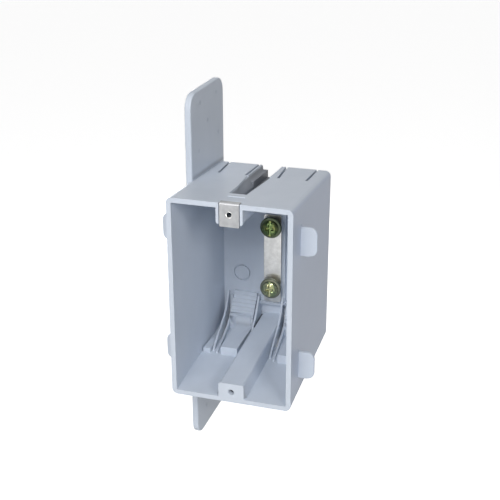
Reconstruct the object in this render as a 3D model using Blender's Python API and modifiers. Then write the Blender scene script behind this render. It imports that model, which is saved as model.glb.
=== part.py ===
"""Single-gang moulded device box with its side bracket, device screw clip and ground strap.

The box opens towards -Y, +X is its right side and +Z is up. It is modelled in box
coordinates, whose origin is the middle of the front rim, and an empty then puts the middle
of the bracket's stud face on the world origin. Lengths are metres.
"""

import math

import bmesh
import bpy
from mathutils import Matrix, Vector
from mathutils.geometry import interpolate_bezier

MM = 0.001

# Shell
RIM_WIDTH = 54.8 * MM
RIM_HEIGHT = 93.0 * MM
BOX_DEPTH = 69.0 * MM
WALL = 2.2 * MM
SIDE_DRAFT = 0.1 * MM  # how much nearer the middle each side wall is at the back
END_DRAFT = 4.4 * MM  # the same for the top and bottom walls
CORNER_RADIUS = 2.6 * MM
CORNER_SEGMENTS = 5

# Bracket that is nailed or screwed to the stud's face
BRACKET_THICKNESS = 3.0 * MM
BRACKET_STAND_OFF = 2.0 * MM  # stud face beyond the rim's left edge
BRACKET_SET_BACK = 29.0 * MM
BRACKET_WIDTH = 43.5 * MM
BRACKET_TOP = 82.2 * MM
BRACKET_BOTTOM = -87.2 * MM
BRACKET_CORNER = 7.0 * MM
BRACKET_EDGE = 0.6 * MM
DIMPLE_RADIUS = 1.7 * MM
DIMPLE_DEPTH = 0.5 * MM
DIMPLE_PLACES = ((12.3, 76.5), (33.6, 76.2), (21.5, 66.2), (35.6, 57.0), (9.7, 55.2))

# Ears that stop the box at the face of the wallboard
EAR_SET_BACK = 12.7 * MM
EAR_THICKNESS = 1.6 * MM
EAR_REACH = 7.0 * MM
EAR_HEIGHT = 12.7 * MM
EAR_CENTRES = (28.2 * MM, -30.0 * MM)
EAR_CORNER = 3.0 * MM
EAR_EDGE = 0.3 * MM
RELIEF_SIZE = 1.6 * MM
RELIEF_DEPTH = 0.8 * MM

# Spine: the device screw bosses and the pad of the ground strap between them
DEVICE_SCREW_INSET = 4.83 * MM  # from the rim's ends, which puts the two device screws 83.34 mm apart
BOSS_OFFSET = 0.3 * MM  # the screw line lies this far right of the rim's middle
BOSS_RISE = 6.8 * MM
BOSS_RISE_BACK = 6.2 * MM
BOSS_TOP_HALF = 5.4 * MM
BOSS_BASE_HALF = 6.9 * MM
BOSS_EDGE = 0.7 * MM
BOSS_FACE_HALF = 5.8 * MM
BOSS_FACE_RISE = 7.0 * MM
BOSS_FACE_LENGTH = 2.0 * MM
BOSS_FACE_EDGE = 0.9 * MM
PAD_HALF = 6.1 * MM
PAD_PROUD = 1.1 * MM
PAD_INSET = 18.0 * MM  # the pad's ends from the rim's ends
PAD_LEDGE_HALF = 6.9 * MM
PAD_LEDGE_PROUD = 2.4 * MM
PAD_LEDGE_HEIGHT = 1.6 * MM
NOTCH_RUN = 16.3 * MM  # in front of the back wall's inner face
NOTCH_LEFT = -5.9 * MM
NOTCH_WIDTH = 1.6 * MM
NOTCH_WEB = 1.4 * MM
SCREW_HOLE_RADIUS = 1.4 * MM
SCREW_HOLE_SINK = 0.5 * MM
SCREW_HOLE_DEPTH = 13.5 * MM

# Channel that hollows each boss from outside
CHANNEL_OFFSET = -0.9 * MM
CHANNEL_START = 15.3 * MM
CHANNEL_HALF = 2.5 * MM
CHANNEL_DEPTH = 6.3 * MM
CHANNEL_FLARES = (1.4 * MM, 3.1 * MM)  # each shoulder's width at the channel's start and at the slits
FLARE_DEPTH = 5.0 * MM
LEDGE_HALF = 4.9 * MM
LEDGE_DEPTH = 2.8 * MM
LIP_SET_BACK = 9.8 * MM
LIP_HALF = 3.8 * MM
LIP_WIDTH = 0.8 * MM
LIP_PROUD = 0.35 * MM

# Cable clamps, one unit at each back corner, with their runs measured forwards from the back wall's inner face
CLAMP_PITCH = 27.9 * MM
CLAMP_RUN = 33.8 * MM
CLAMP_LEAN = 0.08  # sideways per length of the clamps' left edge
SHELF_LEFT = -15.8 * MM
SHELF_RIGHT = -7.6 * MM
RAMP_LEFT = -19.4 * MM
RAMP_RIGHT = -7.6 * MM
CLAMP_RISE = 4.2 * MM
BLOCK_RUN = 9.8 * MM
BLOCK_RISE = 4.9 * MM
BLOCK_RIGHT = -8.7 * MM
RAMP_RUN = 7.4 * MM
RAMP_RISE = 16.44 * MM  # above the floor's back end
RIDGE_COUNT = 6
RIDGE_DEPTH = 0.6 * MM
RIB_THICKNESS = 0.9 * MM
RIB_SEGMENTS = 9
# A curve's two ends with its handles between them, as mm in front of and above the floor's back end
RAIL_CURVE = ((31.8, -0.96), (20.8, 4.54), (4.8, 5.04), (1.4, 15.64))
SLIT_RIB_CURVE = ((33.2, -1.26), (18.8, 0.54), (1.8, 1.04), (1.3, 14.04))
BOSS_RIB_CURVE = ((25.8, -1.16), (15.8, -0.96), (8.8, 6.04), (3.5, 15.74))
BOSS_RIB_LEFT = -6.7 * MM
SIDE_STEP_RISE = 2.6 * MM
SIDE_STEP_RUN = 12.0 * MM
SIDE_STEP_LEFT = -24.4 * MM
SLIT_WIDTH = 1.2 * MM
SLIT_RUN = 23.0 * MM  # in front of the box's back
SLIT_LEFT = -20.5 * MM
SLIT_RIGHT = -7.6 * MM
SLIT_DROP = 8.0 * MM

# Mark of a round knockout inside the back wall
KNOCKOUT_CENTRE = (-15.6 * MM, -14.0 * MM)
KNOCKOUT_RADIUS = 4.3 * MM
KNOCKOUT_GROOVE = 0.8 * MM
KNOCKOUT_DEPTH = 0.4 * MM

# Sheet metal and screws
CLEARANCE = 0.3 * MM
SHEET = 0.8 * MM
CLIP_HALF = 4.3 * MM
CLIP_DROP = 10.5 * MM
CLIP_REAR_DROP = 5.0 * MM
CLIP_BRIDGE = 3.2 * MM
CLIP_PROUD = 0.15 * MM
CLIP_BEND = 0.9 * MM
COLLAR_RADIUS = 2.1 * MM
COLLAR_LENGTH = 1.1 * MM
STRAP_HALF = 4.3 * MM
STRAP_INSET = 9.9 * MM  # the strap's upper end below the pad's upper end
STRAP_CORNER = 1.0 * MM
UPPER_SCREW_INSET = 5.3 * MM  # from the strap's upper end
LOWER_SCREW_INSET = 8.4 * MM  # from the strap's lower end
GROUND_SCREW_GAP = 2.7 * MM  # the screws are backed off the strap for their wires
SHANK_RADIUS = 2.3 * MM
SHANK_LENGTH = 2.4 * MM
FLANGE_RADIUS = 5.2 * MM
FLANGE_THICKNESS = 1.0 * MM
HEAD_RADIUS = 3.9 * MM
HEAD_HEIGHT = 2.2 * MM
DRIVE_WIDTH = 1.1 * MM
DRIVE_DEPTH = 1.2 * MM

OVERLAP = 0.6 * MM  # how far joined shapes reach into each other
SPARE = 4.0 * MM  # how far cutters reach past the wall they cut

# Worked-out places
SCREW_HEIGHT = RIM_HEIGHT / 2 - DEVICE_SCREW_INSET
BACK_FACE = BOX_DEPTH - WALL
CLAMP_START = BACK_FACE - CLAMP_RUN
BLOCK_FACE = BACK_FACE - BLOCK_RUN
RAMP_START = BACK_FACE - RAMP_RUN
SLIT_START = BOX_DEPTH - SLIT_RUN
STUD_FACE_X = -RIM_WIDTH / 2 - BRACKET_STAND_OFF
BRACKET_MIDDLE_Y = BRACKET_SET_BACK + BRACKET_WIDTH / 2
PAD_FACE = BACK_FACE - PAD_PROUD
STRAP_BACK = PAD_FACE - CLEARANCE
STRAP_FRONT = STRAP_BACK - SHEET
PAD_END = RIM_HEIGHT / 2 - PAD_INSET
STRAP_TOP = PAD_END - STRAP_INSET
STRAP_BOTTOM = PAD_LEDGE_HEIGHT + CLEARANCE - PAD_END
UPPER_SCREW_HEIGHT = STRAP_TOP - UPPER_SCREW_INSET
LOWER_SCREW_HEIGHT = STRAP_BOTTOM + LOWER_SCREW_INSET
GROUND_SCREWS = (("ground_screw_upper", UPPER_SCREW_HEIGHT), ("ground_screw_lower", LOWER_SCREW_HEIGHT))
END_SLOPE = END_DRAFT / BOX_DEPTH
SIDE_SLOPE = SIDE_DRAFT / BOX_DEPTH

ALONG_X = Matrix(((0, 0, 1, 0), (1, 0, 0, 0), (0, 1, 0, 0), (0, 0, 0, 1)))
ALONG_Y = Matrix(((1, 0, 0, 0), (0, 0, -1, 0), (0, 1, 0, 0), (0, 0, 0, 1)))
FLIP_Z = Matrix.Diagonal((1, 1, -1, 1))


def end_face(y):
    """Height of the top wall's outer face at depth y."""
    return RIM_HEIGHT / 2 - END_SLOPE * y


def side_face(y):
    """X of the right wall's outer face at depth y."""
    return RIM_WIDTH / 2 - SIDE_SLOPE * y


def lower_floor(y):
    """Height of the bottom wall's inner face at depth y."""
    return WALL - end_face(y)


def clear_scene():
    for obj in list(bpy.data.objects):
        bpy.data.objects.remove(obj, do_unlink=True)


def make_collection(name, hidden=False):
    collection = bpy.data.collections.new(name)
    collection.hide_render = hidden
    bpy.context.scene.collection.children.link(collection)
    return collection


def make_material(name, color, roughness, metallic=0.0):
    material = bpy.data.materials.new(name)
    material.use_nodes = True
    surface = material.node_tree.nodes["Principled BSDF"]
    surface.inputs["Base Color"].default_value = (*color, 1.0)
    surface.inputs["Roughness"].default_value = roughness
    surface.inputs["Metallic"].default_value = metallic
    return material


def place(name, bm, collection):
    """A new object in the collection, from a bmesh that it frees."""
    bmesh.ops.recalc_face_normals(bm, faces=bm.faces)
    mesh = bpy.data.meshes.new(name)
    bm.to_mesh(mesh)
    bm.free()
    obj = bpy.data.objects.new(name, mesh)
    collection.objects.link(obj)
    if collection.hide_render:
        obj.hide_render = True
        obj.display_type = "WIRE"
    return obj


def arc(centre, radius, start, end, segments):
    """Points of a circular arc, both ends included, with angles in degrees."""
    points = []
    for i in range(segments + 1):
        angle = math.radians(start + (end - start) * i / segments)
        points.append((centre[0] + radius * math.cos(angle), centre[1] + radius * math.sin(angle)))
    return points


def rounded_rectangle(low, high, radius, segments=5):
    (x0, z0), (x1, z1) = low, high
    points = []
    for cx, cz, start in ((x1, z0, -90), (x1, z1, 0), (x0, z1, 90), (x0, z0, 180)):
        centre = (cx + math.copysign(radius, x0 + x1 - 2 * cx), cz + math.copysign(radius, z0 + z1 - 2 * cz))
        points += arc(centre, radius, start, start + 90, segments)
    return points


def outline_mesh(points, low, high, turn):
    """A bmesh of the flat outline, filled and extruded from low to high along its own Z, then turned."""
    curve = bpy.data.curves.new("outline", "CURVE")
    curve.dimensions = "2D"
    curve.fill_mode = "BOTH"
    curve.extrude = (high - low) / 2
    spline = curve.splines.new("POLY")
    spline.points.add(len(points) - 1)
    for point, (x, y) in zip(spline.points, points):
        point.co = (x, y, 0, 1)
    spline.use_cyclic_u = True
    guide = bpy.data.objects.new("outline", curve)
    bpy.context.scene.collection.objects.link(guide)
    graph = bpy.context.evaluated_depsgraph_get()
    mesh = bpy.data.meshes.new_from_object(guide.evaluated_get(graph))
    bm = bmesh.new()
    bm.from_mesh(mesh)
    bmesh.ops.remove_doubles(bm, verts=bm.verts, dist=1e-6)
    bmesh.ops.translate(bm, verts=bm.verts, vec=(0, 0, (low + high) / 2))
    bmesh.ops.transform(bm, verts=bm.verts, matrix=turn)
    bpy.data.objects.remove(guide, do_unlink=True)
    bpy.data.curves.remove(curve)
    bpy.data.meshes.remove(mesh)
    return bm


def profile_mesh(points, left, right, lean=0.0, lean_from=0.0):
    """A side profile of (y, z) points between two planes, which lean sideways with depth."""
    bm = outline_mesh(points, -1, 1, ALONG_X)
    for vert in bm.verts:
        side = left if vert.co.x < 0 else right
        vert.co.x = side - lean * (vert.co.y - lean_from)
    return bm


def wedge_mesh(near, far):
    """A block between two sections, each (y, low z, half at low z, high z, half at high z, middle x)."""
    bm = bmesh.new()
    bmesh.ops.create_cube(bm, size=2)
    for vert in bm.verts:
        y, low, low_half, high, high_half, middle = near if vert.co.y < 0 else far
        half = low_half if vert.co.z < 0 else high_half
        vert.co = Vector((middle + math.copysign(half, vert.co.x), y, low if vert.co.z < 0 else high))
    return bm


def box_mesh(low, high):
    bm = bmesh.new()
    bmesh.ops.create_cube(bm, size=1)
    for vert in bm.verts:
        vert.co = Vector((low[i] if vert.co[i] < 0 else high[i] for i in range(3)))
    return bm


def rod_mesh(radius, end_radius, low, high, centre, segments=24):
    """A cylinder or cone along Y from low to high, about centre (x, z)."""
    bm = bmesh.new()
    bmesh.ops.create_cone(
        bm, cap_ends=True, segments=segments, radius1=radius, radius2=end_radius, depth=high - low
    )
    turn = Matrix.Translation((centre[0], (low + high) / 2, centre[1])) @ Matrix.Rotation(-math.pi / 2, 4, "X")
    bmesh.ops.transform(bm, verts=bm.verts, matrix=turn)
    return bm


def bevel_sharp(bm, width, segments=2, least=60, keep=None):
    """Rounds the edges whose faces turn by more than least degrees and that keep accepts."""
    bm.normal_update()
    sharp = [
        edge
        for edge in bm.edges
        if len(edge.link_faces) == 2
        and math.degrees(edge.calc_face_angle()) > least
        and (keep is None or keep(edge))
    ]
    bmesh.ops.bevel(bm, geom=sharp, offset=width, segments=segments, profile=0.5, affect="EDGES")
    return bm


def add_boolean(obj, operation, operands):
    modifier = obj.modifiers.new(operation.title(), "BOOLEAN")
    modifier.operation = operation
    modifier.operand_type = "COLLECTION"
    modifier.collection = operands
    modifier.solver = "EXACT"


def both_ends(name, build, collection):
    """Places what build returns at the bottom of the box, and its mirror image at the top."""
    for suffix, turn in (("bottom", Matrix()), ("top", FLIP_Z)):
        bm = build()
        bmesh.ops.transform(bm, verts=bm.verts, matrix=turn)
        place(f"{name}_{suffix}", bm, collection)


def shell_mesh():
    """The drafted shell's outer surface, open at the front and run past the rim to be trimmed."""
    front = -SPARE
    sections = [(y, -end_face(y), side_face(y), end_face(y), side_face(y), 0.0) for y in (front, BOX_DEPTH)]
    bm = wedge_mesh(*sections)

    def behind_front(edge):
        return max(vert.co.y for vert in edge.verts) > front + OVERLAP

    bevel_sharp(bm, CORNER_RADIUS, CORNER_SEGMENTS, keep=behind_front)
    opening = [face for face in bm.faces if face.calc_center_median().y < front + 1e-6]
    bmesh.ops.delete(bm, geom=opening, context="FACES_ONLY")
    return bm


def add_bracket(joined, cut):
    left = STUD_FACE_X
    outline = rounded_rectangle(
        (BRACKET_SET_BACK, BRACKET_BOTTOM), (BRACKET_SET_BACK + BRACKET_WIDTH, BRACKET_TOP), BRACKET_CORNER, 6
    )
    plate = outline_mesh(outline, left, left + BRACKET_THICKNESS, ALONG_X)
    bevel_sharp(plate, BRACKET_EDGE)
    place("bracket_plate", plate, joined)
    face = left + BRACKET_THICKNESS
    for index, (along, height) in enumerate(DIMPLE_PLACES):
        for sign in (1, -1):
            bm = bmesh.new()
            bmesh.ops.create_cone(
                bm, cap_ends=True, segments=16, radius1=DIMPLE_RADIUS / 2, radius2=DIMPLE_RADIUS,
                depth=2 * DIMPLE_DEPTH,
            )
            middle = (face, BRACKET_SET_BACK + along * MM, sign * height * MM)
            turn = Matrix.Translation(middle) @ Matrix.Rotation(math.pi / 2, 4, "Y")
            bmesh.ops.transform(bm, verts=bm.verts, matrix=turn)
            place(f"bracket_dimple_{index}_{'lower' if sign < 0 else 'upper'}", bm, cut)


def add_ears(joined, cut):
    for side in (-1, 1):
        for centre in EAR_CENTRES:
            root = side_face(EAR_SET_BACK) - WALL / 2
            tip = side_face(EAR_SET_BACK) + EAR_REACH
            xs = sorted((side * root, side * tip))
            zs = (centre - EAR_HEIGHT / 2, centre + EAR_HEIGHT / 2)
            outline = rounded_rectangle((xs[0], zs[0]), (xs[1], zs[1]), EAR_CORNER)
            inner = side * root
            squared = [
                (inner, zs[0] if z < centre else zs[1]) if abs(x) < root + EAR_CORNER else (x, z)
                for x, z in outline
            ]
            kept = [point for i, point in enumerate(squared) if point != squared[i - 1]]
            ear = outline_mesh(kept, -EAR_SET_BACK - EAR_THICKNESS, -EAR_SET_BACK, ALONG_Y)
            bevel_sharp(ear, EAR_EDGE, 1)
            label = f"{'right' if side > 0 else 'left'}_{'top' if centre > 0 else 'bottom'}"
            place(f"ear_{label}", ear, joined)
            wall = side * side_face(EAR_SET_BACK)
            low = (wall - RELIEF_DEPTH, EAR_SET_BACK - RELIEF_SIZE / 2, zs[1])
            high = (wall + RELIEF_DEPTH, EAR_SET_BACK + RELIEF_SIZE / 2, zs[1] + RELIEF_SIZE)
            place(f"ear_relief_{label}", box_mesh(low, high), cut)


def boss_mesh():
    """The drafted bar along the bottom wall that holds the device screw."""
    sections = []
    for y, rise in ((BOSS_FACE_LENGTH - OVERLAP, BOSS_RISE), (BACK_FACE + OVERLAP, BOSS_RISE_BACK)):
        floor = lower_floor(y)
        sections.append((y, floor - OVERLAP, BOSS_BASE_HALF, floor + rise, BOSS_TOP_HALF, BOSS_OFFSET))
    bm = wedge_mesh(*sections)
    return bevel_sharp(bm, BOSS_EDGE, 3, keep=lambda edge: min(v.co.z for v in edge.verts) > lower_floor(0) + BOSS_RISE / 2)


def boss_face_mesh():
    """The square block at the lower boss's front end, flush with the rim."""
    floor = lower_floor(0)
    low = (BOSS_OFFSET - BOSS_FACE_HALF, -SPARE, floor - OVERLAP)
    high = (BOSS_OFFSET + BOSS_FACE_HALF, BOSS_FACE_LENGTH, floor + BOSS_FACE_RISE)

    def inner_corner(edge):
        heights = [vert.co.z for vert in edge.verts]
        depths = [vert.co.y for vert in edge.verts]
        return min(heights) > floor and max(depths) - min(depths) > SPARE / 2

    return bevel_sharp(box_mesh(low, high), BOSS_FACE_EDGE, 3, keep=inner_corner)


def boss_top(y):
    """Height of the lower boss's inner face at depth y."""
    share = y / BACK_FACE
    return lower_floor(y) + BOSS_RISE + (BOSS_RISE_BACK - BOSS_RISE) * share


def pad_ledge_mesh():
    """The ledge at the pad's lower end, which the strap stands on."""
    low = (BOSS_OFFSET - PAD_LEDGE_HALF, BACK_FACE - PAD_LEDGE_PROUD, -PAD_END)
    high = (BOSS_OFFSET + PAD_LEDGE_HALF, BACK_FACE + OVERLAP, PAD_LEDGE_HEIGHT - PAD_END)
    return box_mesh(low, high)


def boss_notch_mesh():
    """The gap between the lower boss and the clamp's rib beside it."""
    half = NOTCH_WIDTH / 2
    sections = [
        (y, lower_floor(y) + NOTCH_WEB, half, boss_top(y) + OVERLAP, half, NOTCH_LEFT + half)
        for y in (BACK_FACE - NOTCH_RUN, BACK_FACE)
    ]
    return wedge_mesh(*sections)


def add_spine(joined, cut):
    both_ends("boss", boss_mesh, joined)
    both_ends("boss_face", boss_face_mesh, joined)
    pad = box_mesh(
        (BOSS_OFFSET - PAD_HALF, PAD_FACE, -PAD_END), (BOSS_OFFSET + PAD_HALF, BACK_FACE + OVERLAP, PAD_END)
    )
    place("strap_pad", pad, joined)
    both_ends("strap_pad_ledge", pad_ledge_mesh, joined)
    both_ends("boss_notch", boss_notch_mesh, cut)

    for sign, label in ((-1, "bottom"), (1, "top")):
        centre = (BOSS_OFFSET, sign * SCREW_HEIGHT)
        radius = SCREW_HOLE_RADIUS if sign < 0 else COLLAR_RADIUS + CLEARANCE
        place(f"screw_hole_{label}", rod_mesh(radius, radius, -SPARE, SCREW_HOLE_DEPTH, centre), cut)
    sink = rod_mesh(
        SCREW_HOLE_RADIUS + 2 * SCREW_HOLE_SINK, SCREW_HOLE_RADIUS, -SCREW_HOLE_SINK, SCREW_HOLE_SINK,
        (BOSS_OFFSET, -SCREW_HEIGHT),
    )
    place("screw_hole_sink", sink, cut)
    for name, height in GROUND_SCREWS:
        bore = rod_mesh(
            SHANK_RADIUS + CLEARANCE, SHANK_RADIUS + CLEARANCE, PAD_FACE - SPARE,
            STRAP_FRONT + SHEET + SHANK_LENGTH + CLEARANCE, (BOSS_OFFSET, height),
        )
        place(f"{name}_bore", bore, cut)


def channel_mesh():
    """What hollows the lower boss from outside: a straight channel, open at the back."""
    sections = []
    for y in (CHANNEL_START, BOX_DEPTH + SPARE):
        outside = -end_face(y)
        sections.append((y, outside - SPARE, CHANNEL_HALF, outside + CHANNEL_DEPTH, CHANNEL_HALF, CHANNEL_OFFSET))
    return wedge_mesh(*sections)


def channel_flare_mesh():
    """The sloping shoulders that widen the channel's mouth from its front end to the clamps' slits."""
    sections = []
    for y, flare in zip((CHANNEL_START, SLIT_START), CHANNEL_FLARES):
        outside = -end_face(y)
        half = CHANNEL_HALF + flare * (1 + SPARE / FLARE_DEPTH)
        sections.append((y, outside - SPARE, half, outside + FLARE_DEPTH, CHANNEL_HALF, CHANNEL_OFFSET))
    return wedge_mesh(*sections)


def channel_ledge_mesh():
    """The lowered strip between the clamps at the back."""
    sections = []
    for y in (SLIT_START, BOX_DEPTH + SPARE):
        outside = -end_face(y)
        sections.append((y, outside - SPARE, LEDGE_HALF, outside + LEDGE_DEPTH, LEDGE_HALF, CHANNEL_OFFSET))
    return wedge_mesh(*sections)


def lip_mesh():
    """The low rib across the wall in front of the channel."""
    outside = -end_face(LIP_SET_BACK)
    low = (BOSS_OFFSET - LIP_HALF, LIP_SET_BACK, outside - LIP_PROUD)
    high = (BOSS_OFFSET + LIP_HALF, LIP_SET_BACK + LIP_WIDTH, outside + OVERLAP)
    return bevel_sharp(box_mesh(low, high), LIP_PROUD / 2, 1, keep=lambda edge: max(v.co.z for v in edge.verts) < outside)


def ramp_points():
    """The clamp's ridged face, from the top of its block up to the back wall."""
    foot = (RAMP_START, lower_floor(CLAMP_START) + CLAMP_RISE + BLOCK_RISE)
    top = (BACK_FACE - OVERLAP, lower_floor(BACK_FACE) + RAMP_RISE)
    step_y = (top[0] - foot[0]) / RIDGE_COUNT
    step_z = (top[1] - foot[1]) / RIDGE_COUNT
    points = []
    for i in range(RIDGE_COUNT):
        y, z = foot[0] + step_y * i, foot[1] + step_z * i
        points.append((y, z))
        points.append((y + step_y * 0.7 - RIDGE_DEPTH, z + step_z * 0.6))
        points.append((y + step_y * 0.75 - RIDGE_DEPTH, z + step_z * 0.95))
    points.append(top)
    return points


def rib_points(curve):
    """Side view of a clamp's rib, which runs along the floor and curves up into the back wall."""
    floor = lower_floor(BACK_FACE)
    handles = [Vector((BACK_FACE - run * MM, floor + rise * MM)) for run, rise in curve]
    points = [tuple(point) for point in interpolate_bezier(*handles, RIB_SEGMENTS)]
    foot, top = points[0], points[-1]
    behind = BACK_FACE + OVERLAP
    corners = [(behind, top[1]), (behind, lower_floor(behind) - OVERLAP), (foot[0], lower_floor(foot[0]) - OVERLAP)]
    return points + corners


def clamp_meshes():
    """The parts of the lower left cable clamp: its shelf, block, ridged ramp, ribs and the step beside them."""
    shelf = lower_floor(CLAMP_START) + CLAMP_RISE
    block = shelf + BLOCK_RISE
    behind = BACK_FACE + OVERLAP
    under = lower_floor(behind) - OVERLAP
    start = (CLAMP_START, lower_floor(CLAMP_START) - OVERLAP)
    profile = [start, (CLAMP_START, shelf), (behind, shelf), (behind, under)]
    meshes = {"shelf": profile_mesh(profile, SHELF_LEFT, SHELF_RIGHT)}

    low = (SHELF_LEFT, BLOCK_FACE, shelf - OVERLAP)
    meshes["block"] = box_mesh(low, (BLOCK_RIGHT, behind, block))

    foot = BLOCK_FACE + OVERLAP
    profile = [(foot, lower_floor(foot) - OVERLAP), (foot, block - OVERLAP)]
    profile += ramp_points() + [(behind, lower_floor(BACK_FACE) + RAMP_RISE), (behind, under)]
    meshes["ramp"] = profile_mesh(profile, RAMP_LEFT, RAMP_RIGHT)

    for name, curve, left, lean in (
        ("rail", RAIL_CURVE, SLIT_LEFT - RIB_THICKNESS, CLAMP_LEAN),
        ("slit_rib", SLIT_RIB_CURVE, SLIT_LEFT + SLIT_WIDTH, CLAMP_LEAN),
        ("boss_rib", BOSS_RIB_CURVE, BOSS_RIB_LEFT, 0.0),
    ):
        meshes[name] = profile_mesh(rib_points(curve), left, left + RIB_THICKNESS, lean, SLIT_START)

    back = CLAMP_START + SIDE_STEP_RUN
    profile = [
        (CLAMP_START, lower_floor(CLAMP_START) - OVERLAP),
        (CLAMP_START, lower_floor(CLAMP_START) + SIDE_STEP_RISE),
        (back, lower_floor(back) + SIDE_STEP_RISE / 2),
        (back, lower_floor(back) - OVERLAP),
    ]
    meshes["step"] = profile_mesh(profile, SIDE_STEP_LEFT, SLIT_LEFT - RIB_THICKNESS / 2)
    return meshes


def slit_meshes():
    """Cutters for the two slits that free a clamp's flap, through the bottom wall and round its back corner."""
    meshes = {}
    for name, left, lean in (("left", SLIT_LEFT, CLAMP_LEAN), ("right", SLIT_RIGHT, 0.0)):
        outside = -end_face(SLIT_START)
        back_outside = -end_face(BOX_DEPTH)
        profile = [
            (SLIT_START, outside - SPARE),
            (SLIT_START, outside + WALL + CLEARANCE),
            (BACK_FACE - CLEARANCE, back_outside + WALL + CLEARANCE),
            (BACK_FACE - CLEARANCE, back_outside + SLIT_DROP),
            (BOX_DEPTH + SPARE, back_outside + SLIT_DROP),
            (BOX_DEPTH + SPARE, outside - SPARE),
        ]
        meshes[name] = profile_mesh(profile, left, left + SLIT_WIDTH, lean, SLIT_START)
    return meshes


def add_clamps(joined, cut):
    for unit in (0, 1):
        shift = Matrix.Translation((unit * CLAMP_PITCH, 0, 0))
        for end, turn in (("bottom", Matrix()), ("top", FLIP_Z)):
            for name, bm in clamp_meshes().items():
                if unit and name == "step":
                    bm.free()
                    continue
                bmesh.ops.transform(bm, verts=bm.verts, matrix=turn @ shift)
                place(f"clamp_{end}_{unit}_{name}", bm, joined)
            for name, bm in slit_meshes().items():
                bmesh.ops.transform(bm, verts=bm.verts, matrix=turn @ shift)
                place(f"slit_{end}_{unit}_{name}", bm, cut)


def add_clip_seat(cut):
    """The recess round the upper screw hole that the metal clip sits in, and the slot for its rear leg."""
    half = CLIP_HALF + CLEARANCE
    top = end_face(0)
    front = box_mesh(
        (BOSS_OFFSET - half, -SPARE, top - WALL - BOSS_RISE - SPARE),
        (BOSS_OFFSET + half, SHEET + CLEARANCE, top + SPARE),
    )
    place("clip_seat_front", front, cut)
    bridge = box_mesh(
        (BOSS_OFFSET - half, -SPARE, top + CLIP_PROUD - SHEET - CLEARANCE),
        (BOSS_OFFSET + half, CLIP_BRIDGE + CLEARANCE, top + SPARE),
    )
    place("clip_seat_bridge", bridge, cut)
    leg = box_mesh(
        (BOSS_OFFSET - half, CLIP_BRIDGE - SHEET - CLEARANCE, top + CLIP_PROUD - CLIP_REAR_DROP - CLEARANCE),
        (BOSS_OFFSET + half, CLIP_BRIDGE + CLEARANCE, top + SPARE),
    )
    place("clip_seat_leg", leg, cut)


def add_knockout(cut):
    x, z = KNOCKOUT_CENTRE
    bm = bmesh.new()
    low, high = BACK_FACE - SPARE, BACK_FACE + KNOCKOUT_DEPTH
    near, far = KNOCKOUT_RADIUS - KNOCKOUT_GROOVE, KNOCKOUT_RADIUS
    corners = [bm.verts.new((r, 0, h)) for r, h in ((far, high), (far, low), (near, low), (near, high))]
    for first, second in zip(corners, corners[1:] + corners[:1]):
        bm.edges.new((first, second))
    bmesh.ops.spin(
        bm, geom=bm.verts[:] + bm.edges[:], cent=(0, 0, 0), axis=(0, 0, 1), angle=math.tau, steps=32, use_merge=True
    )
    bmesh.ops.remove_doubles(bm, verts=bm.verts, dist=1e-7)
    turn = Matrix.Translation((x, 0, z)) @ Matrix.Rotation(-math.pi / 2, 4, "X")
    bmesh.ops.transform(bm, verts=bm.verts, matrix=turn)
    place("knockout_groove", bm, cut)


def make_body(parts, material):
    joined = make_collection("Joined to the box", hidden=True)
    cut = make_collection("Cut from the box", hidden=True)
    body = place("box_body", shell_mesh(), parts)
    shell = body.modifiers.new("Wall", "SOLIDIFY")
    shell.thickness = WALL
    shell.offset = -1
    shell.use_even_offset = True
    add_bracket(joined, cut)
    add_ears(joined, cut)
    add_spine(joined, cut)
    add_clamps(joined, cut)
    both_ends("channel_lip", lip_mesh, joined)
    both_ends("channel", channel_mesh, cut)
    both_ends("channel_flare", channel_flare_mesh, cut)
    both_ends("channel_ledge", channel_ledge_mesh, cut)
    add_clip_seat(cut)
    add_knockout(cut)
    reach = RIM_HEIGHT
    trim = box_mesh((-reach, -reach, -reach), (reach, 0, reach))
    place("rim_trim", trim, cut)
    add_boolean(body, "UNION", joined)
    add_boolean(body, "DIFFERENCE", cut)
    body.data.materials.append(material)
    return body


def folded_points(path, thickness):
    """Outline of a sheet that follows the path, which is its outer face, with the sheet on its right."""
    inner = []
    for i, point in enumerate(path):
        before = path[max(i - 1, 0)]
        after = path[min(i + 1, len(path) - 1)]
        along = Vector((after[0] - before[0], after[1] - before[1])).normalized()
        normal = Vector((along.y, -along.x))
        stretch = 1.0
        if 0 < i < len(path) - 1:
            first = Vector((point[0] - before[0], point[1] - before[1])).normalized()
            stretch = 1 / max(along.dot(first), 0.5)
        inner.append((point[0] + normal.x * thickness * stretch, point[1] + normal.y * thickness * stretch))
    return path + inner[::-1]


def make_clip(parts, material):
    """The folded metal clip: front leaf with its hole and collar, bridge over the rim, and rear leg."""
    top = end_face(0) + CLIP_PROUD
    bend = CLIP_BEND
    path = [(0, top - CLIP_DROP)]
    path += arc((bend, top - bend), bend, 180, 90, 4)
    path += arc((CLIP_BRIDGE - bend, top - bend), bend, 90, 0, 4)
    path.append((CLIP_BRIDGE, top - CLIP_REAR_DROP))
    bm = profile_mesh(folded_points(path, SHEET), BOSS_OFFSET - CLIP_HALF, BOSS_OFFSET + CLIP_HALF)
    clip = place("device_screw_clip", bm, parts)
    centre = (BOSS_OFFSET, SCREW_HEIGHT)
    collar = make_collection("Joined to the clip", hidden=True)
    place("clip_collar", rod_mesh(COLLAR_RADIUS, COLLAR_RADIUS, SHEET / 2, SHEET + COLLAR_LENGTH, centre), collar)
    hole = make_collection("Cut from the clip", hidden=True)
    place("clip_hole", rod_mesh(SCREW_HOLE_RADIUS, SCREW_HOLE_RADIUS, -SPARE, CLIP_BRIDGE - SHEET - OVERLAP / 4, centre), hole)
    add_boolean(clip, "UNION", collar)
    add_boolean(clip, "DIFFERENCE", hole)
    clip.data.materials.append(material)
    return clip


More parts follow.
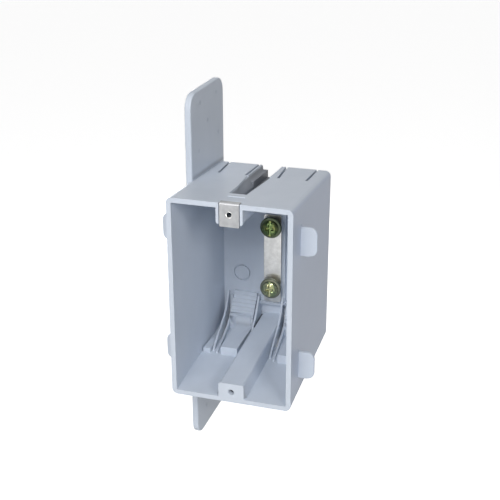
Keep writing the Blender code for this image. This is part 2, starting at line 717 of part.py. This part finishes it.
def make_strap(parts, material):
    low = (BOSS_OFFSET - STRAP_HALF, STRAP_BOTTOM)
    high = (BOSS_OFFSET + STRAP_HALF, STRAP_TOP)
    bm = outline_mesh(rounded_rectangle(low, high, STRAP_CORNER, 4), -STRAP_BACK, -STRAP_FRONT, ALONG_Y)
    strap = place("ground_strap", bm, parts)
    holes = make_collection("Cut from the strap", hidden=True)
    for name, height in GROUND_SCREWS:
        radius = SHANK_RADIUS + CLEARANCE
        bore = rod_mesh(radius, radius, STRAP_FRONT - SPARE, STRAP_BACK + SPARE, (BOSS_OFFSET, height))
        place(f"{name}_strap_hole", bore, holes)
    add_boolean(strap, "DIFFERENCE", holes)
    strap.data.materials.append(material)
    return strap


def screw_profile():
    """Half section of a washer-faced pan-head screw, as (radius, height above the strap), top to bottom."""
    seat = GROUND_SCREW_GAP
    crown = seat + FLANGE_THICKNESS + HEAD_HEIGHT
    edge = HEAD_HEIGHT * 0.62
    points = [(0, crown)]
    for i in range(1, 6):
        angle = math.radians(18 * i)
        points.append((HEAD_RADIUS * math.sin(angle), crown - edge * (1 - math.cos(angle))))
    points += [(HEAD_RADIUS, seat + FLANGE_THICKNESS), (FLANGE_RADIUS - 0.3 * MM, seat + FLANGE_THICKNESS)]
    points += [(FLANGE_RADIUS, seat + FLANGE_THICKNESS - 0.3 * MM), (FLANGE_RADIUS, seat)]
    points += [(SHANK_RADIUS, seat), (SHANK_RADIUS, -SHEET - SHANK_LENGTH + 0.5 * MM)]
    points += [(SHANK_RADIUS - 0.5 * MM, -SHEET - SHANK_LENGTH), (0, -SHEET - SHANK_LENGTH)]
    return points


def make_screw(parts, name, height, material):
    bm = bmesh.new()
    verts = [bm.verts.new((r, 0, z)) for r, z in screw_profile()]
    for first, second in zip(verts, verts[1:]):
        bm.edges.new((first, second))
    mesh = bpy.data.meshes.new(name)
    bm.to_mesh(mesh)
    bm.free()
    screw = bpy.data.objects.new(name, mesh)
    parts.objects.link(screw)
    screw.location = (BOSS_OFFSET, STRAP_FRONT, height)
    screw.rotation_euler = (math.pi / 2, 0, 0)
    turn = screw.modifiers.new("Turn", "SCREW")
    turn.steps = turn.render_steps = 32
    turn.use_merge_vertices = True
    turn.merge_threshold = 1e-5
    recess = make_collection(f"Cut from {name}", hidden=True)
    crown = STRAP_FRONT - GROUND_SCREW_GAP - FLANGE_THICKNESS - HEAD_HEIGHT
    for label, across, along in (("slot", DRIVE_WIDTH, HEAD_RADIUS * 2 + SPARE), ("cross", HEAD_RADIUS, DRIVE_WIDTH)):
        low = (BOSS_OFFSET - across / 2, crown - SPARE, height - along / 2)
        high = (BOSS_OFFSET + across / 2, crown + DRIVE_DEPTH, height + along / 2)
        place(f"{name}_{label}", box_mesh(low, high), recess)
    add_boolean(screw, "DIFFERENCE", recess)
    mesh.materials.append(material)
    return screw


def shade(obj):
    obj.data.shade_smooth()
    obj.data.set_sharp_from_angle(angle=math.radians(35))


def main():
    clear_scene()
    parts = make_collection("Device box")
    plastic = make_material("grey_plastic", (0.38, 0.42, 0.49), 0.38)
    steel = make_material("plated_steel", (0.70, 0.69, 0.66), 0.32, 1.0)
    brass = make_material("green_plated_brass", (0.36, 0.38, 0.12), 0.30, 1.0)
    frame = bpy.data.objects.new("stud_face_frame", None)
    parts.objects.link(frame)
    frame.location = (-STUD_FACE_X, -BRACKET_MIDDLE_Y, 0)
    made = [make_body(parts, plastic), make_clip(parts, steel), make_strap(parts, steel)]
    made += [make_screw(parts, name, height, brass) for name, height in GROUND_SCREWS]
    helpers = [obj for obj in bpy.data.objects if obj.hide_render]
    for obj in made + helpers:
        obj.parent = frame
    for obj in made:
        shade(obj)


main()
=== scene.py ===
"""Looks of the moulded single-gang device box: its plastic, sheet metal and plated screws.

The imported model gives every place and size. Lengths are metres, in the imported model's frame: -X is the
bracket's stud face, -Y the open front and +Z the end with the metal clip.
"""

import math

import bmesh
import bpy
from mathutils import Matrix, Vector


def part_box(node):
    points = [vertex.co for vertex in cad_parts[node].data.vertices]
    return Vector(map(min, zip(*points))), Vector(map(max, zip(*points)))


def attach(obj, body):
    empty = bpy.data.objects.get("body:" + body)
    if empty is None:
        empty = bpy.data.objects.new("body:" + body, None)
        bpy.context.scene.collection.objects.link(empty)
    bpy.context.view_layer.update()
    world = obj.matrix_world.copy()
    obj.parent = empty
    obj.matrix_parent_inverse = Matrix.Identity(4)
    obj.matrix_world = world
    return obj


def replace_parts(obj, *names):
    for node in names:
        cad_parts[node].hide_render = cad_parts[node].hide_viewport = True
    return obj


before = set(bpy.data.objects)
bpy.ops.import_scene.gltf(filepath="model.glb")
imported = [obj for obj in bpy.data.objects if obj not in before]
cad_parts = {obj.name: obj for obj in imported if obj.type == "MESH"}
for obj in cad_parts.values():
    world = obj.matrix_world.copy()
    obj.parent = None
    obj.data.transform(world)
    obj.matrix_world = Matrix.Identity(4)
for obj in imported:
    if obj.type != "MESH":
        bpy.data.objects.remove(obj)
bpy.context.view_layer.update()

MM = 0.001

# Places of the box's own features in this frame
RIM_Y = -50.75 * MM
MIDDLE_X = 29.4 * MM  # middle of the rim
MIDDLE_Y = -10.0 * MM  # middle of what the lamps light
SCREW_LINE_X = 29.7 * MM
SCREW_HEIGHT = 41.67 * MM  # of the device screws, above and below the middle
BACK_FACE_Y = 16.05 * MM
OUTSIDE_HEIGHT = 46.5 * MM  # the top's outside above the middle, at the rim
OUTSIDE_SLOPE = 4.4 / 69.0
BRACKET_INSIDE_X = 3.0 * MM
RIGHT_WALL_X = 55.4 * MM
CHANNEL_X = 28.5 * MM
CHANNEL_HALF = 4.9 * MM
CHANNEL_START_Y = -36.0 * MM
CHANNEL_DEPTH = 6.8 * MM
UPPER_SCREW_Z = 13.3 * MM
LOWER_SCREW_Z = -18.2 * MM
HEAD_RADIUS = 3.9 * MM
WASHER_STAND_OFF = 2.65 * MM  # the washers' backs in front of the strap
KNOCKOUT = (13.8 * MM, -14.0 * MM)
KNOCKOUT_RADIUS = 4.3 * MM
KNOCKOUT_FLOOR = (BACK_FACE_Y + 0.2 * MM, BACK_FACE_Y + 0.6 * MM)
RAMP_FOOT = (8.65 * MM, 33.096 * MM)  # Y, and height from the middle
RAMP_TOP = (15.45 * MM, 23.6 * MM)
RIDGE_CRESTS = (-0.9 * MM, -0.2 * MM)  # where they lie off the ramp's slope

# What the dressed copies change on the solids
SAME_POINT = 0.002 * MM
SAME_FACE = 0.6  # degrees
RIDGE_EXTRA = 0.6 * MM
KNOCKOUT_EXTRA = 0.5 * MM
PLASTIC_EASE = 0.25 * MM
METAL_EASE = 0.12 * MM
EASED_OVER = 28.0  # degrees
EASE_ROOM = 2.6  # length that every edge beside an eased one needs, in eased widths

# The added trim
AROUND = 48  # steps in a turned piece
BURR_TOWARDS = 246.0  # degrees from +X towards +Z, where the burr stands highest
THREAD_TURNS = 3.2
THREAD_STEPS = 28  # in one turn
THREAD_RUN_OUT = 8.0  # steps over which the thread grows at each end
THREAD_PITCH = 0.79 * MM
THREAD_START = 0.25 * MM  # behind the washer
THREAD_ROOT = 2.25  # radius in millimetres
THREAD_CREST = 0.45  # millimetres above the root

# Finishes
PLASTIC_DEEP = (0.632, 0.692, 0.782)
PLASTIC_PALE = (0.662, 0.720, 0.808)
# Painted shade for the channels and the bracket's corners
PLASTIC_PAINTED_SHADE = (0.22, 0.235, 0.265)
# Painted cooler, darker shade for the outside of the right wall
PLASTIC_PAINTED_SIDE_SHADE = (0.550, 0.615, 0.745)
# Painted shade for the inside of the lower pilot hole
PLASTIC_PAINTED_HOLE_SHADE = (0.15, 0.16, 0.18)
STRAP_DEEP = (0.53, 0.53, 0.52)
STRAP_PALE = (0.68, 0.68, 0.665)
STRAP_ROUGHNESS = 0.22
CLIP_DEEP = (0.33, 0.335, 0.345)
CLIP_PALE = (0.42, 0.425, 0.435)
CLIP_ROUGHNESS = 0.34
# Each screw's tones: olive, yellow, green, washer, and the washer's back. The washer's tone is a painted
# dark reflection, and its back's paler tone is painted light.
# The upper set is darker partly as a greener plating and partly as painted shade under the top wall
UPPER_TONES = ((0.16, 0.18, 0.06), (0.32, 0.34, 0.12), (0.15, 0.21, 0.08), (0.085, 0.105, 0.065),
               (0.25, 0.24, 0.15))
LOWER_TONES = ((0.38, 0.39, 0.20), (0.64, 0.62, 0.36), (0.34, 0.40, 0.21), (0.22, 0.23, 0.17),
               (0.85, 0.80, 0.66))

# Camera, fitted to the photograph's straight edges
LENS = 72.0
SENSOR = 36.0
CAMERA_PLACE = (152.14 * MM, -412.42 * MM, 184.04 * MM)
CAMERA_AZIMUTH = 17.422
CAMERA_ELEVATION = 22.467
CAMERA_ROLL = -0.139

# Studio
WORLD_LEVEL = 0.12
LAMP_DISTANCE = 1.1
FLOOR_HEIGHT = -0.34
FLOOR_SIZE = 6.0
FLOOR_GREY = (0.85, 0.85, 0.85)
FLOOR_GLOW = 0.80
WHITE = (1.0, 1.0, 1.0)
BLACK = (0.0, 0.0, 0.0)


# ---------------------------------------------------------------- shader maths


class Value:
    """A socket that takes part in Python expressions, each of which adds a Math node."""

    def __init__(self, nodes, socket):
        self.nodes = nodes
        self.socket = socket

    def math(self, operation, *others):
        return self.nodes.math(operation, self, *others)

    def __add__(self, other):
        return self.math("ADD", other)

    __radd__ = __add__

    def __sub__(self, other):
        return self.math("SUBTRACT", other)

    def __rsub__(self, other):
        return self.nodes.math("SUBTRACT", other, self)

    def __mul__(self, other):
        return self.math("MULTIPLY", other)

    __rmul__ = __mul__

    def __neg__(self):
        return 0.0 - self

    def __abs__(self):
        return self.math("ABSOLUTE")


class Nodes:
    """Adds nodes to one tree, each with its settings and what its sockets take."""

    def __init__(self, tree):
        self.tree = tree

    def node(self, kind, settings=None, inputs=None, output=0):
        made = self.tree.nodes.new(kind)
        for key, setting in (settings or {}).items():
            setattr(made, key, setting)
        for key, value in (inputs or {}).items():
            self.join(made.inputs[key], value)
        return Value(self, made.outputs[output])

    def join(self, socket, value):
        if isinstance(value, Value):
            self.tree.links.new(value.socket, socket)
        elif isinstance(value, tuple) and len(value) == 3 and len(socket.default_value) == 4:
            socket.default_value = (*value, 1.0)
        else:
            socket.default_value = value

    def math(self, operation, *values):
        return self.node("ShaderNodeMath", {"operation": operation}, dict(enumerate(values)))

    def background_rays(self):
        """1 for the rays that show the background: seen by the camera, mirrored or passing through."""
        seen, mirrored, through = (
            self.node("ShaderNodeLightPath", output=ray)
            for ray in ("Is Camera Ray", "Is Glossy Ray", "Is Transmission Ray")
        )
        return seen.math("MAXIMUM", mirrored).math("MAXIMUM", through)


class Paint(Nodes):
    """Builds one finish out of nodes, ending in a Principled shader."""

    def __init__(self, name):
        self.material = bpy.data.materials.new(name)
        self.material.use_nodes = True
        super().__init__(self.material.node_tree)
        self.surface = self.tree.nodes["Principled BSDF"]

    def set(self, **sockets):
        for name, value in sockets.items():
            title = name.replace("_", " ").title().replace("Ior", "IOR")
            self.join(self.surface.inputs[title], value)

    def place(self):
        """The point of the surface, in metres, before any pose."""
        return self.node("ShaderNodeTexCoord", output="Object")

    def axis(self, index):
        return self.node("ShaderNodeSeparateXYZ", inputs={0: self.place()}, output=index)

    def facing(self, index):
        """How far the true surface faces along an axis, from -1 to 1."""
        normal = self.node("ShaderNodeNewGeometry", output="True Normal")
        return self.node("ShaderNodeSeparateXYZ", inputs={0: normal}, output=index)

    def reach(self, x, z):
        """The distance from a line along Y that passes through x and z."""
        across = self.axis(0) - x
        up = self.axis(2) - z
        return (across * across + up * up).math("POWER", 0.5)

    def noise(self, per_mm, detail=2.0, roughness=0.5, stretch=(1.0, 1.0, 1.0)):
        """Cloudy noise from 0 to 1, with so many features per millimetre."""
        scale = tuple(s * 1000.0 for s in stretch)
        point = self.node("ShaderNodeVectorMath", {"operation": "MULTIPLY"}, {0: self.place(), 1: scale})
        values = {"Vector": point, "Scale": per_mm, "Detail": detail, "Roughness": roughness}
        return self.node("ShaderNodeTexNoise", {"noise_dimensions": "3D"}, values)

    def step(self, value, low, high):
        """0 below low and 1 above high, smooth between them."""
        values = {"Value": value, "From Min": low, "From Max": high, "To Min": 0.0, "To Max": 1.0}
        return self.node("ShaderNodeMapRange", {"interpolation_type": "SMOOTHSTEP"}, values)

    def mix(self, factor, first, second):
        """The first colour where the factor is 0 and the second where it is 1."""
        factor_in, first_in, second_in, colour_out = 0, 6, 7, 2  # the node's sockets for colours
        values = {factor_in: factor, first_in: first, second_in: second}
        return self.node("ShaderNodeMix", {"data_type": "RGBA"}, values, colour_out)

    def bump(self, height, distance, strength, under=None):
        values = {"Height": height, "Distance": distance, "Strength": strength}
        if under is not None:
            values["Normal"] = under
        return self.node("ShaderNodeBump", inputs=values)


# ---------------------------------------------------------------- finishes


def channel_painted_shade(paint, back, sunk):
    """Painted shade inside the channels that core the bosses from outside, stronger towards the back."""
    aside = abs(paint.axis(0) - CHANNEL_X)
    below_top = paint.step(sunk, 0.2 * MM, 1.6 * MM)
    above_floor = 1.0 - paint.step(sunk, CHANNEL_DEPTH, CHANNEL_DEPTH + 0.4 * MM)
    between_sides = 1.0 - paint.step(aside, CHANNEL_HALF, CHANNEL_HALF + 0.3 * MM)
    past_start = paint.step(back, CHANNEL_START_Y, CHANNEL_START_Y + 1.0 * MM)
    strength = 0.62 + paint.step(back, -18.0 * MM, 4.0 * MM) * 0.34
    return below_top * above_floor * between_sides * past_start * strength


def corner_painted_shade(paint, back, sunk):
    """Painted shade along the soft line where the bracket meets the top and the bottom."""
    away = abs(paint.axis(0) - BRACKET_INSIDE_X).math("MAXIMUM", -sunk)
    near = 1.0 - paint.step(away, 0.1 * MM, 2.4 * MM)
    on_skin = 1.0 - paint.step(sunk, 0.1 * MM, 0.3 * MM)
    past_bracket_edge = paint.step(back, -22.5 * MM, -19.0 * MM)
    return near * on_skin * past_bracket_edge * 0.45


def pilot_hole_shade(paint, back):
    """Painted shade inside the lower device screw's hole, darkest where it narrows."""
    inside = 1.0 - paint.step(paint.reach(SCREW_LINE_X, -SCREW_HEIGHT), 1.30 * MM, 1.50 * MM)
    mouth = paint.step(back, RIM_Y + 0.1 * MM, RIM_Y + 0.6 * MM)
    deep = paint.step(back, RIM_Y + 1.8 * MM, RIM_Y + 3.6 * MM)
    return inside * (mouth * 0.2 + deep * 0.8)


def right_side_painted_shade(paint):
    """Painted cooler, darker shade on the outside of the right wall, where it faces +X."""
    far_right = paint.step(paint.axis(0), RIGHT_WALL_X, RIGHT_WALL_X + 0.8 * MM)
    return far_right * paint.step(paint.facing(0), 0.4, 0.9)


def moulded_plastic():
    """Semi-gloss grey-blue plastic: fine mould grain, slow shrinkage waves, faint mottling, painted shade
    in its channels, corners and pilot hole, and a painted cooler shade on its right side.
    """
    paint = Paint("moulded_grey_plastic")
    cloud = paint.noise(0.045, 3.0)
    flow = paint.noise(0.13, 2.0, stretch=(1.0, 1.0, 0.25))
    base = paint.mix(paint.step(cloud * 0.65 + flow * 0.35, 0.3, 0.7), PLASTIC_DEEP, PLASTIC_PALE)
    back = paint.axis(1)
    # How far below the outside of the top, or above the outside of the bottom
    sunk = (OUTSIDE_HEIGHT - (back - RIM_Y) * OUTSIDE_SLOPE) - abs(paint.axis(2))
    # Painted shade inside the channels
    base = paint.mix(channel_painted_shade(paint, back, sunk), base, PLASTIC_PAINTED_SHADE)
    # Painted shade along the bracket's corners with the top and the bottom
    base = paint.mix(corner_painted_shade(paint, back, sunk), base, PLASTIC_PAINTED_SHADE)
    # Painted shade inside the pilot hole
    base = paint.mix(pilot_hole_shade(paint, back), base, PLASTIC_PAINTED_HOLE_SHADE)
    # Painted cooler shade on the right wall's outside
    base = paint.mix(right_side_painted_shade(paint), base, PLASTIC_PAINTED_SIDE_SHADE)
    grain = paint.noise(5.5, 2.0, 0.6)
    wave = paint.noise(0.11, 1.0)
    specks = paint.noise(1.6, 3.0, 0.65)
    rough = 0.31 + grain * 0.10 + paint.step(specks, 0.45, 0.75) * 0.06
    waved = paint.bump(wave, 0.35 * MM, 0.5)
    normal = paint.bump(grain, 0.02 * MM, 0.35, under=waved)
    paint.set(base_color=base, roughness=rough, normal=normal, specular_ior_level=0.07)
    return paint.material


def plated_sheet(name, deep, pale, least_rough):
    """Satin zinc-plated sheet: rolling lines along its length, and cloudy plating."""
    paint = Paint(name)
    cloud = paint.noise(0.35, 3.0, 0.6)
    lines = paint.noise(6.0, 2.0, 0.6, stretch=(1.0, 1.0, 0.06))
    base = paint.mix(paint.step(cloud, 0.3, 0.72), deep, pale)
    rough = least_rough + cloud * 0.12 + lines * 0.08
    paint.set(base_color=base, metallic=1.0, roughness=rough, normal=paint.bump(lines, 0.02 * MM, 0.3))
    return paint.material


def yellow_green_plating(name, screw_height, tones):
    """Bright chromate over steel: olive to yellow and green in patches, rougher on the washer, with a
    painted dark reflection on the washer and painted light on the washer's back.
    """
    olive, yellow, green, washer, washer_back = tones
    paint = Paint(name)
    cloud = paint.noise(0.5, 2.0, 0.55)
    patch = paint.noise(0.28, 1.0)
    warm = paint.mix(paint.step(cloud, 0.35, 0.65), olive, yellow)
    head = paint.mix(paint.step(patch, 0.45, 0.62), warm, green)
    reach = paint.reach(SCREW_LINE_X, screw_height)
    on_washer = paint.step(reach, HEAD_RADIUS - 0.25 * MM, HEAD_RADIUS + 0.1 * MM)
    # Painted dark reflection on the washer
    base = paint.mix(on_washer, head, washer)
    # Painted light on the washer's back, which the strap mirrors
    base = paint.mix(paint.step(paint.facing(1), 0.5, 0.9), base, washer_back)
    rough = 0.09 + cloud * 0.08 + on_washer * 0.20
    fine = paint.noise(4.0, 2.0, 0.6)
    paint.set(base_color=base, metallic=1.0, roughness=rough, normal=paint.bump(fine, 0.02 * MM, 0.25))
    return paint.material


# ---------------------------------------------------------------- mesh helpers


def new_object(name, bm, material):
    mesh = bpy.data.meshes.new(name)
    bm.to_mesh(mesh)
    bm.free()
    mesh.materials.append(material)
    made = bpy.data.objects.new(name, mesh)
    bpy.context.scene.collection.objects.link(made)
    return made


def smooth(piece, sharp_over, flat_faces_lead):
    """Smooth shading that keeps sharp corners, with the large flat faces shaded truly flat if asked."""
    piece.data.shade_smooth()
    piece.data.set_sharp_from_angle(angle=math.radians(sharp_over))
    if flat_faces_lead:
        flatten = piece.modifiers.new("Flat faces lead", "WEIGHTED_NORMAL")
        flatten.mode = "FACE_AREA"
        flatten.weight = 50
        flatten.keep_sharp = True


def put(name, bm, material, slot, sharp_over=35.0, flat_faces_lead=True):
    """Makes one piece of the part, smooth except at its corners of more than so many degrees."""
    piece = new_object(name, bm, material)
    smooth(piece, sharp_over, flat_faces_lead)
    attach(piece, "root")
    return piece


def welded_copy(node):
    """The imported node's mesh, with its split corners joined and its flat faces whole again."""
    bm = bmesh.new()
    bm.from_mesh(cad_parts[node].data)
    for layer in list(bm.loops.layers.uv):
        bm.loops.layers.uv.remove(layer)
    bmesh.ops.remove_doubles(bm, verts=bm.verts, dist=SAME_POINT)
    bmesh.ops.dissolve_limit(bm, angle_limit=math.radians(SAME_FACE), verts=bm.verts, edges=bm.edges)
    bm.normal_update()
    return bm


def ease_edges(bm, width):
    """Rounds the sharp edges that have room on both sides, as a mould's corners are."""
    room = width * EASE_ROOM

    def sharp(edge):
        return len(edge.link_faces) == 2 and math.degrees(edge.calc_face_angle()) > EASED_OVER

    def roomy(edge):
        return all(other.calc_length() > room for vert in edge.verts for other in vert.link_edges)

    eased = [edge for edge in bm.edges if sharp(edge) and roomy(edge)]
    bmesh.ops.bevel(bm, geom=eased, offset=width, segments=2, profile=0.5, affect="EDGES",
                    clamp_overlap=True)


def bridge(bm, loops):
    """Joins each closed loop of points to the next with four-sided faces."""
    for here, there in zip(loops, loops[1:]):
        for j in range(len(here)):
            k = (j + 1) % len(here)
            bm.faces.new((here[j], here[k], there[k], there[j]))


def turned(section, x, z):
    """A ring turned about a line along Y, from the closed section of radii and Y places at each angle."""
    bm = bmesh.new()
    loops = []
    for i in range(AROUND):
        angle = 2 * math.pi * i / AROUND
        loops.append([
            bm.verts.new((x + radius * math.cos(angle), y, z + radius * math.sin(angle)))
            for radius, y in section(angle)
        ])
    bridge(bm, loops + loops[:1])
    bmesh.ops.recalc_face_normals(bm, faces=bm.faces)
    return bm


# ---------------------------------------------------------------- the object


def deepen_ridges(bm):
    """Brings the crests of the clamps' ridges further out of their ramps."""
    along = Vector((RAMP_TOP[0] - RAMP_FOOT[0], RAMP_TOP[1] - RAMP_FOOT[1])).normalized()
    for vert in bm.verts:
        if not RAMP_FOOT[0] - 0.2 * MM < vert.co.y < RAMP_TOP[0]:
            continue
        rel = Vector((vert.co.y - RAMP_FOOT[0], abs(vert.co.z) - RAMP_FOOT[1]))
        off_ramp = rel.y * -along.x + rel.x * along.y
        if RIDGE_CRESTS[0] < off_ramp < RIDGE_CRESTS[1]:
            vert.co.y -= RIDGE_EXTRA


def deepen_knockout(bm):
    """Sinks the floor of the knockout's ring."""
    for vert in bm.verts:
        reach = math.hypot(vert.co.x - KNOCKOUT[0], vert.co.z - KNOCKOUT[1])
        if reach < KNOCKOUT_RADIUS + 0.1 * MM and KNOCKOUT_FLOOR[0] < vert.co.y < KNOCKOUT_FLOOR[1]:
            vert.co.y += KNOCKOUT_EXTRA


def dress(node, name, material, slot, ease, reshape=(), **shading):
    """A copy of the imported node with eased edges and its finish, which takes the node's place."""
    bm = welded_copy(node)
    for change in reshape:
        change(bm)
    ease_edges(bm, ease)
    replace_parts(put(name, bm, material, slot, **shading), node)


def raise_burr(material):
    """The lip that the punch left round the clip's hole, which shows only at its lower left. It takes a
    paler finish than the clip as a painted highlight.
    """
    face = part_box("device_screw_clip")[0][1]

    def section(angle):
        rise = (-0.20 + 0.62 * max(0.0, math.cos(angle - math.radians(BURR_TOWARDS))) ** 1.5) * MM
        return [
            (1.06 * MM, face + 0.6 * MM),
            (1.10 * MM, face - rise * 0.6),
            (1.24 * MM, face - rise),
            (1.42 * MM, face - rise * 0.85),
            (1.62 * MM, face - rise * 0.3),
            (1.85 * MM, face + 0.05 * MM),
            (1.70 * MM, face + 0.6 * MM),
        ]

    ring = turned(section, SCREW_LINE_X, SCREW_HEIGHT)
    put("clip_hole_burr", ring, material, "plated_steel", sharp_over=60.0)


def line_screw_hole(material):
    """The pilot hole in the lower boss, with a soft mouth that narrows further in."""
    profile = [
        (1.86 * MM, RIM_Y + 0.03 * MM),
        (1.38 * MM, RIM_Y + 0.50 * MM),
        (1.38 * MM, RIM_Y + 9.00 * MM),
        (0.80 * MM, RIM_Y + 9.00 * MM),
        (0.80 * MM, RIM_Y + 4.00 * MM),
        (0.98 * MM, RIM_Y + 3.00 * MM),
        (1.16 * MM, RIM_Y + 1.60 * MM),
        (1.24 * MM, RIM_Y + 0.55 * MM),
        (1.36 * MM, RIM_Y + 0.20 * MM),
        (1.82 * MM, RIM_Y + 0.02 * MM),
    ]
    ring = turned(lambda angle: profile, SCREW_LINE_X, -SCREW_HEIGHT)
    put("pilot_hole", ring, material, "grey_plastic", sharp_over=60.0)


def cut_thread(name, height, material):
    """The screw's thread where its shank shows between the strap and the washer."""
    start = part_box("ground_strap")[0][1] - WASHER_STAND_OFF + THREAD_START
    steps = THREAD_TURNS * THREAD_STEPS
    bm = bmesh.new()
    loops = []
    for i in range(int(steps) + 1):
        angle = 2 * math.pi * i / THREAD_STEPS
        middle = start + THREAD_PITCH * i / THREAD_STEPS
        grown = min(1.0, i / THREAD_RUN_OUT, (steps - i) / THREAD_RUN_OUT)
        crest = THREAD_ROOT + THREAD_CREST * grown
        section = ((THREAD_ROOT, -0.34), (crest, -0.05), (crest, 0.05), (THREAD_ROOT, 0.34), (1.9, 0.0))
        loops.append([
            bm.verts.new((
                SCREW_LINE_X + radius * MM * math.cos(angle),
                middle + along * MM,
                height + radius * MM * math.sin(angle),
            ))
            for radius, along in section
        ])
    bridge(bm, loops)
    bm.faces.new(loops[0])
    bm.faces.new(list(reversed(loops[-1])))
    bmesh.ops.recalc_face_normals(bm, faces=bm.faces)
    put(name, bm, material, "green_plated_screw", sharp_over=30.0)


# ---------------------------------------------------------------- camera, light and floor


def towards(azimuth, elevation):
    """The direction so many degrees to the right of the open front and so many up."""
    turn, lift = math.radians(azimuth), math.radians(elevation)
    return Vector((math.sin(turn) * math.cos(lift), -math.cos(turn) * math.cos(lift), math.sin(lift)))


def aim_camera():
    turn, roll = math.radians(CAMERA_AZIMUTH), math.radians(CAMERA_ROLL)
    back = towards(CAMERA_AZIMUTH, CAMERA_ELEVATION)
    right = Vector((math.cos(turn), math.sin(turn), 0.0))
    up = back.cross(right)
    turned_right = right * math.cos(roll) + up * math.sin(roll)
    turned_up = up * math.cos(roll) - right * math.sin(roll)
    data = bpy.data.cameras.new("camera")
    data.lens = LENS
    data.sensor_width = SENSOR
    data.clip_start = 0.01
    camera = bpy.data.objects.new("camera", data)
    bpy.context.scene.collection.objects.link(camera)
    camera.matrix_world = Matrix.Translation(CAMERA_PLACE) @ Matrix(
        (turned_right, turned_up, back)).transposed().to_4x4()
    bpy.context.scene.camera = camera


def soft_lamp(name, azimuth, elevation, size, watts):
    """A square lamp so many degrees to the right and up, which shines on the box's middle."""
    data = bpy.data.lights.new(name, "AREA")
    data.shape = "SQUARE"
    data.size = size
    data.energy = watts
    lamp = bpy.data.objects.new(name, data)
    bpy.context.scene.collection.objects.link(lamp)
    away = towards(azimuth, elevation)
    lamp.location = Vector((MIDDLE_X, MIDDLE_Y, 0.0)) + away * LAMP_DISTANCE
    lamp.rotation_euler = away.to_track_quat("Z", "Y").to_euler()
    lamp.visible_camera = False


def light_world():
    """Even light all round. The camera, gloss and glass see plain white."""
    world = bpy.data.worlds.new("studio")
    bpy.context.scene.world = world
    world.use_nodes = True
    nodes = Nodes(world.node_tree)
    even = nodes.tree.nodes["Background"]
    nodes.join(even.inputs["Color"], WHITE)
    nodes.join(even.inputs["Strength"], WORLD_LEVEL)
    white = nodes.node("ShaderNodeBackground", inputs={"Color": WHITE, "Strength": 1.0})
    choice = {0: nodes.background_rays(), 1: Value(nodes, even.outputs[0]), 2: white}
    shown = nodes.node("ShaderNodeMixShader", inputs=choice)
    nodes.join(nodes.tree.nodes["World Output"].inputs["Surface"], shown)


def lay_floor():
    """A pale floor that takes the box's shadow and glows where it is the background."""
    bm = bmesh.new()
    bmesh.ops.create_grid(bm, x_segments=1, y_segments=1, size=FLOOR_SIZE)
    bmesh.ops.translate(bm, verts=bm.verts, vec=(0.0, 0.0, FLOOR_HEIGHT))
    paint = Paint("pale_floor")
    paint.set(base_color=FLOOR_GREY, roughness=0.9)
    glow = paint.node("ShaderNodeEmission", inputs={"Color": WHITE, "Strength": FLOOR_GLOW})
    dark = paint.node("ShaderNodeEmission", inputs={"Color": BLACK, "Strength": 0.0})
    shown = paint.node("ShaderNodeMixShader", inputs={0: paint.background_rays(), 1: dark, 2: glow})
    plain = Value(paint, paint.surface.outputs[0])
    total = paint.node("ShaderNodeAddShader", inputs={0: plain, 1: shown})
    paint.join(paint.tree.nodes["Material Output"].inputs["Surface"], total)
    new_object("floor", bm, paint.material)


aim_camera()
light_world()
soft_lamp("key", azimuth=2.0, elevation=37.0, size=0.38, watts=4.95)
soft_lamp("right_fill", azimuth=43.0, elevation=25.0, size=0.35, watts=3.1)
soft_lamp("left_fill", azimuth=-22.0, elevation=14.0, size=0.35, watts=2.2)
soft_lamp("top_fill", azimuth=180.0, elevation=86.0, size=0.35, watts=1.3)
soft_lamp("back_fill", azimuth=208.0, elevation=-6.0, size=0.35, watts=2.4)
lay_floor()

plastic = moulded_plastic()
clip_sheet = plated_sheet("plated_clip_steel", CLIP_DEEP, CLIP_PALE, CLIP_ROUGHNESS)
strap_sheet = plated_sheet("plated_strap_steel", STRAP_DEEP, STRAP_PALE, STRAP_ROUGHNESS)
screws = (
    # The upper screw's plating is darker partly as painted shade
    ("upper", UPPER_SCREW_Z, yellow_green_plating("upper_screw_plating", UPPER_SCREW_Z, UPPER_TONES)),
    ("lower", LOWER_SCREW_Z, yellow_green_plating("lower_screw_plating", LOWER_SCREW_Z, LOWER_TONES)),
)

dress("box_body", "moulded_box", plastic, "grey_plastic", PLASTIC_EASE,
      reshape=(deepen_ridges, deepen_knockout))
dress("device_screw_clip", "folded_clip", clip_sheet, "plated_steel", METAL_EASE)
dress("ground_strap", "flat_strap", strap_sheet, "plated_steel", METAL_EASE)
# The burr takes the strap's paler finish as a painted highlight
raise_burr(strap_sheet)
line_screw_hole(plastic)
for label, height, plating in screws:
    dress("ground_screw_" + label, label + "_wire_screw", plating, "green_plated_screw", METAL_EASE,
          sharp_over=40.0, flat_faces_lead=False)
    cut_thread(label + "_screw_thread", height, plating)

bpy.context.scene.view_settings.view_transform = "Standard"
